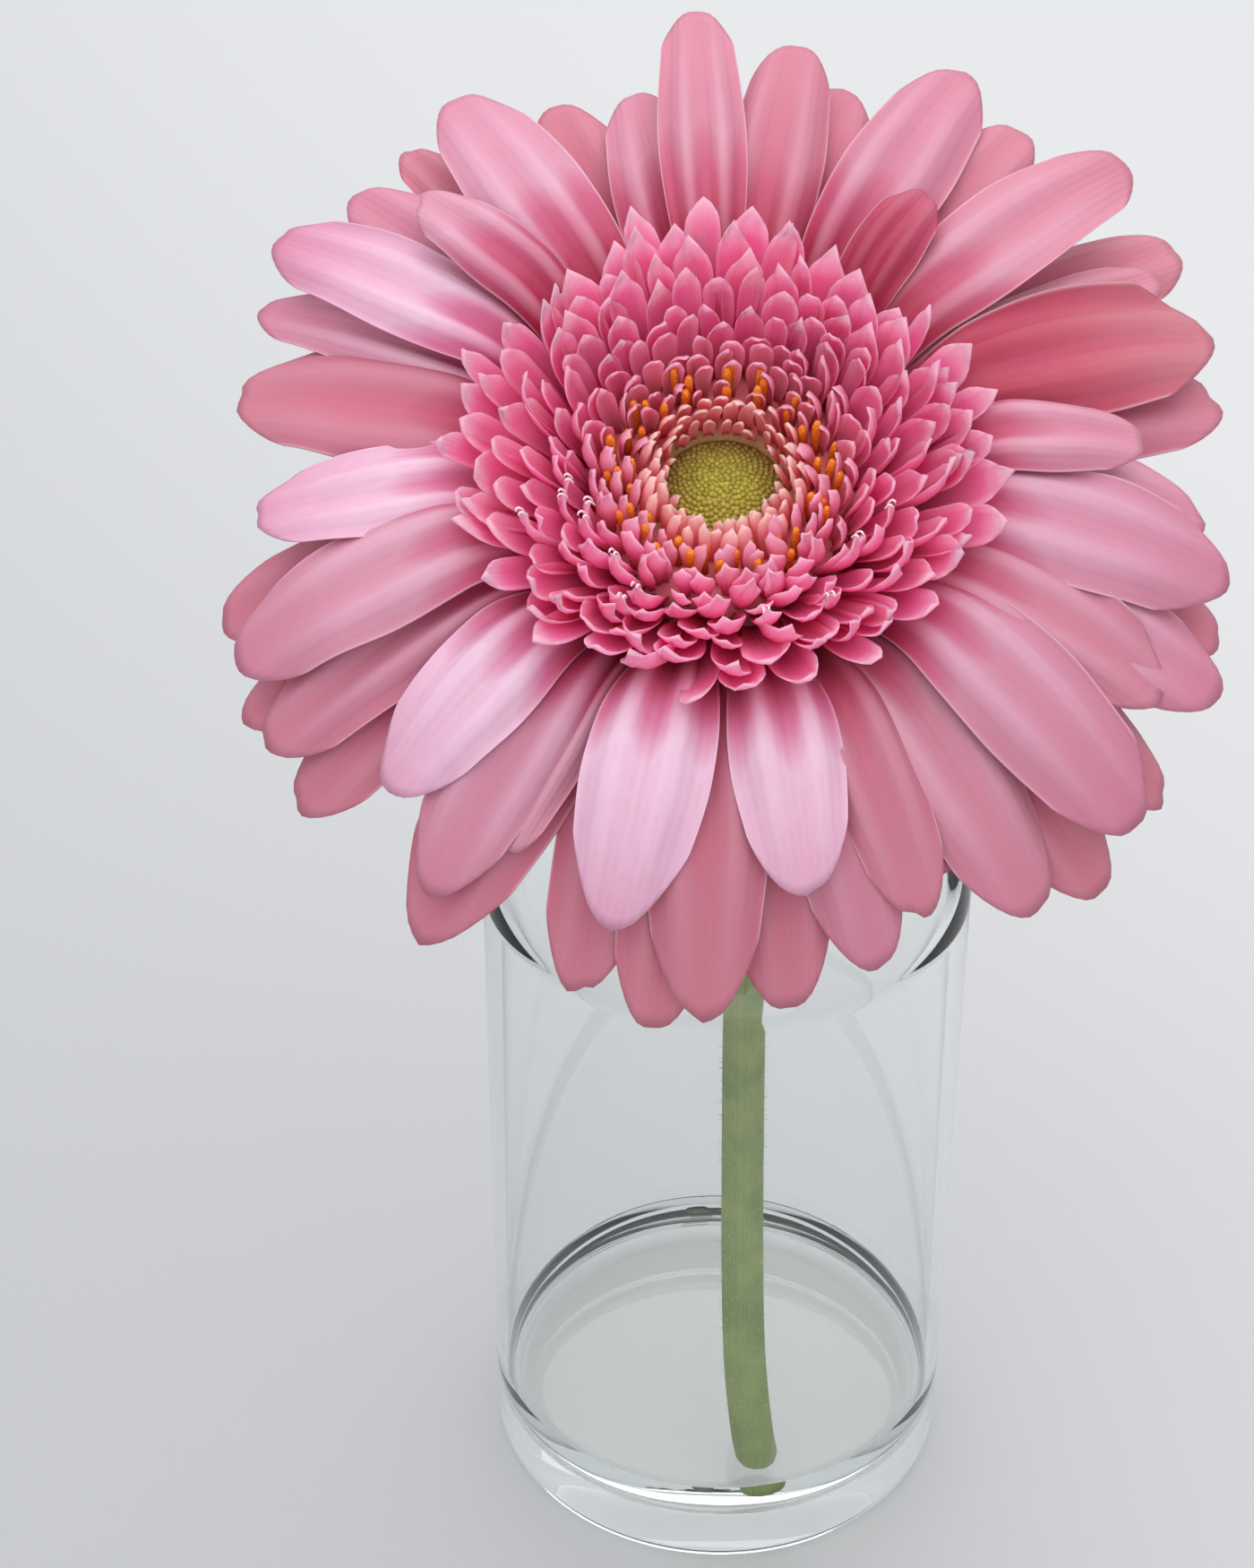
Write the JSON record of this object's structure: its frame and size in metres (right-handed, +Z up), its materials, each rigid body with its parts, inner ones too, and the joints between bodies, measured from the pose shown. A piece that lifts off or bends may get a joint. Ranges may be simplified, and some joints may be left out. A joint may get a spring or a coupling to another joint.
{
  "type": "cut gerbera in a glass bottle",
  "caption": "One pink gerbera with layered ray petals and a ring of small florets round a yellow-green eye, leaning out of a small clear glass bottle with shallow water.",
  "frame": {"origin": "middle of the bottle's flat bottom, on the surface that it stands on", "axes": "+Z up along the bottle's axis; -Y is the side that the bloom leans towards; +X to the right of someone facing the bloom"},
  "size_m": [0.1059, 0.092, 0.1875],
  "materials": {
    "glass": "clear, smooth, very slightly green",
    "water": "clear and still",
    "stem_green": "matt, finely hairy green stalk",
    "petal_pink": "satin petal with fine veins",
    "floret_pink": "satin petal with pale rims",
    "floret_salmon": "satin petal with cream tips",
    "anther_orange": "matt",
    "eye_yellow_green": "matt, granular"
  },
  "bodies": {
    "root": {"bottle": "glass", "water": "water", "stem": "stem_green", "ray_petals": "petal_pink", "trans_florets": "floret_pink", "inner_florets": "floret_salmon", "anthers": "anther_orange", "eye": "eye_yellow_green"}
  },
  "joints": []
}
